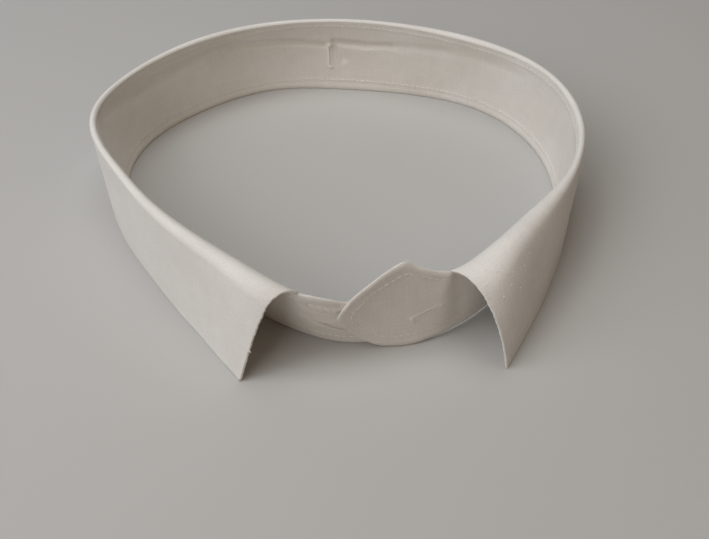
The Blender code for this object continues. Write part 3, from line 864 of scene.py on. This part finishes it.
starts, ends, normals = [], [], []
for along, down in PILLS:
    spot, out, ahead = on_leaf(along, down)
    way = unit(ahead + rng.normal(0.0, 0.6, 3))
    starts.append(spot - way * PILL_HALF + out * PILL_RISE)
    ends.append(spot + way * PILL_HALF + out * PILL_RISE)
    normals.append(out)
spot, out, ahead = on_leaf(*THREAD_END)
starts.append(spot)
ends.append(spot - ahead * 1.3 + out * 0.3)
normals.append(out)
pills = thread_bars("pills", np.array(starts), np.array(ends), np.array(normals), PILL_RADIUS, 0.03)

# %% [markdown]
# Starched cotton is plain woven: warp along the cloth's height and weft round it. Light falls in between
# the threads, so it is matt, with a faint sheen where starch has glazed it. Real poplin has a thread
# every 0.25 mm, too fine to show from here, so the threads are drawn 0.7 mm apart, with slubs longer than
# that. They are kept low under a short nap, because laundering has raised the fibres. The weave reads the
# cloth's own places, so it turns over the fold with the leaf.

# %% Starched cotton
THREAD = 0.7           # mm between threads as drawn
THREAD_DEPTH = 0.09    # mm
PUCKER_DEPTH = 0.35    # mm, of the gathers that the stitches pull in
WAVE_UNIT = 0.314      # the wave texture repeats each 0.314 of a unit at scale 1


def starched_cotton(name, light, dark, specks):
    """White plain weave, fused, starched and pressed, with a few dark specks caught in it."""
    material, tree = new_material(name)
    cloth = add(tree, "Attribute", attribute_name="cloth")
    place = cloth.outputs["Vector"]
    threads = {}
    for way, direction in (("warp", "X"), ("weft", "Y")):
        wave = add(tree, "TexWave", {
            "Vector": place, "Scale": WAVE_UNIT / THREAD, "Distortion": 2.5, "Detail": 3.0,
            "Detail Scale": 0.8, "Detail Roughness": 0.7,
        }, bands_direction=direction)
        threads[way] = wave.outputs["Fac"]
    weft = add(tree, "Math", {0: threads["weft"], 1: 0.5}, operation="MULTIPLY").outputs[0]
    both = add(tree, "Math", {0: threads["warp"], 1: weft}, operation="ADD").outputs[0]
    weave = add(tree, "Math", {0: both, 1: 0.10}, operation="MULTIPLY").outputs[0]
    slubs = []
    for stretch in ((1.5, 0.07, 1.0), (0.07, 1.5, 1.0)):
        drawn = add(tree, "Mapping", {"Vector": place, "Scale": stretch}).outputs["Vector"]
        slubs.append(add(tree, "TexNoise", {"Vector": drawn, "Scale": 1.0, "Detail": 3.0}).outputs["Fac"])
    slub = add(tree, "Math", {0: slubs[0], 1: slubs[1]}, operation="ADD").outputs[0]
    nap = add(tree, "TexNoise", {
        "Vector": place, "Scale": 1.6, "Detail": 4.0, "Roughness": 0.75,
    }).outputs["Fac"]
    mottle = add(tree, "TexNoise", {"Vector": place, "Scale": 0.16, "Detail": 3.0}).outputs["Fac"]
    stain = add(tree, "TexNoise", {"Vector": place, "Scale": 0.035, "Detail": 3.0}).outputs["Fac"]

    uneven = add(tree, "MapRange", {"Value": stain, "From Min": 0.35, "From Max": 0.65}).outputs[0]
    tone = add(tree, "Mix", {
        "Factor": uneven, 6: colour(dark), 7: colour(light),
    }, data_type="RGBA").outputs[2]
    slight = add(tree, "Math", {0: slub, 1: 0.5}, operation="MULTIPLY").outputs[0]
    grain = add(tree, "Math", {0: nap, 1: 2.0, 2: slight}, operation="MULTIPLY_ADD").outputs[0]
    grain = add(tree, "Math", {0: mottle, 1: 0.5, 2: grain}, operation="MULTIPLY_ADD").outputs[0]
    fine = add(tree, "MapRange", {
        "Value": grain, "From Min": 1.30, "From Max": 2.20, "To Min": 0.86, "To Max": 1.0,
    }).outputs[0]
    shade = add(tree, "CombineColor", {0: fine, 1: fine, 2: fine}).outputs[0]
    tinted = add(tree, "Mix", {
        "Factor": 1.0, 6: tone, 7: shade,
    }, data_type="RGBA", blend_type="MULTIPLY").outputs[2]
    dots = add(tree, "TexVoronoi", {"Vector": place, "Scale": specks}, feature="F1")
    dot = add(tree, "MapRange", {
        "Value": dots.outputs["Distance"], "From Min": 0.022, "From Max": 0.034,
        "To Min": 0.55, "To Max": 0.0,
    }).outputs[0]
    some = add(tree, "SeparateColor", {"Color": dots.outputs["Color"]}).outputs[0]
    few = add(tree, "Math", {0: some, 1: 0.72}, operation="GREATER_THAN").outputs[0]
    dirt = add(tree, "Math", {0: dot, 1: few}, operation="MULTIPLY").outputs[0]
    tinted = add(tree, "Mix", {
        "Factor": dirt, 6: tinted, 7: colour("#7D756C"),
    }, data_type="RGBA").outputs[2]

    high = add(tree, "Math", {0: slub, 1: 0.5, 2: weave}, operation="MULTIPLY_ADD").outputs[0]
    high = add(tree, "Math", {0: nap, 1: 2.8, 2: high}, operation="MULTIPLY_ADD").outputs[0]
    woven = add(tree, "Bump", {"Height": high, "Strength": 0.7, "Distance": THREAD_DEPTH * MM}).outputs[0]
    seam = add(tree, "Attribute", attribute_name="seam").outputs["Fac"]
    near = add(tree, "MapRange", {
        "Value": seam, "From Min": 0.1, "From Max": 1.6, "To Min": 1.0, "To Max": 0.0,
    }, interpolation_type="SMOOTHSTEP").outputs[0]
    gather = add(tree, "TexNoise", {"Vector": place, "Scale": 0.75, "Detail": 2.0}).outputs["Fac"]
    pucker = add(tree, "Math", {0: near, 1: gather}, operation="MULTIPLY").outputs[0]
    normal = add(tree, "Bump", {
        "Height": pucker, "Strength": 0.8, "Distance": PUCKER_DEPTH * MM, "Normal": woven,
    }).outputs[0]
    gloss = add(tree, "MapRange", {
        "Value": slub, "From Min": 0.7, "From Max": 1.3, "To Min": 0.78, "To Max": 0.68,
    }).outputs[0]
    shader = add(tree, "BsdfPrincipled", {
        "Base Color": tinted, "Roughness": gloss, "Normal": normal, "IOR": 1.53,
        "Sheen Weight": 0.15, "Sheen Roughness": 0.5,
    })
    add(tree, "OutputMaterial", {"Surface": shader.outputs["BSDF"]})
    return material


cotton = {
    "leaf_cotton": starched_cotton("leaf_starched_cotton", "#F3F0EA", "#EEEAE3", 0.16),
    "band_cotton": starched_cotton("band_starched_cotton", "#F0ECE5", "#EAE5DC", 0.11),
}
leaf.data.materials.append(cotton["leaf_cotton"])
band.data.materials.clear()
band.data.materials.append(cotton["band_cotton"])
print("Cottons:", sorted(cotton))

# %% [markdown]
# Sewing thread is cotton too, but twisted hard and mercerised, so it is smoother and a little brighter
# than the cloth. The loose fibres are single hairs of it, and let light through.

# %% Thread and fibre
def sewing_thread(name, hex_value, roughness, twist=0.35):
    """Twisted cotton thread, with its plies as fine ridges every third of a millimetre."""
    material, tree = new_material(name)
    place = add(tree, "TexCoord").outputs["Object"]
    ply = add(tree, "TexWave", {"Vector": place, "Scale": WAVE_UNIT / (twist * MM), "Distortion": 2.0},
              bands_direction="DIAGONAL").outputs["Fac"]
    normal = add(tree, "Bump", {"Height": ply, "Strength": 0.4, "Distance": 0.03 * MM}).outputs[0]
    shader = add(tree, "BsdfPrincipled", {
        "Base Color": colour(hex_value), "Roughness": roughness, "Normal": normal, "IOR": 1.53,
        "Sheen Weight": 0.1,
    })
    add(tree, "OutputMaterial", {"Surface": shader.outputs["BSDF"]})
    return material


thread = sewing_thread("mercerised_thread", "#F1EEE8", 0.5)
for row in topstitches:
    row.data.materials.append(thread)
whipping.data.materials.append(thread)
fluff = sewing_thread("cotton_fibre", "#F4F2EE", 0.8)
lint.data.materials.append(fluff)
pills.data.materials.append(fluff)
print("Threads and fibres are finished")

# %% [markdown]
# Last, each piece is told which body it rides on, and the solids of the band and the leaf that the
# frame was loaded from are hidden.


for piece in (band, leaf, *topstitches, whipping, lint, pills):
    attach(piece, "root")
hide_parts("band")
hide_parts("leaf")
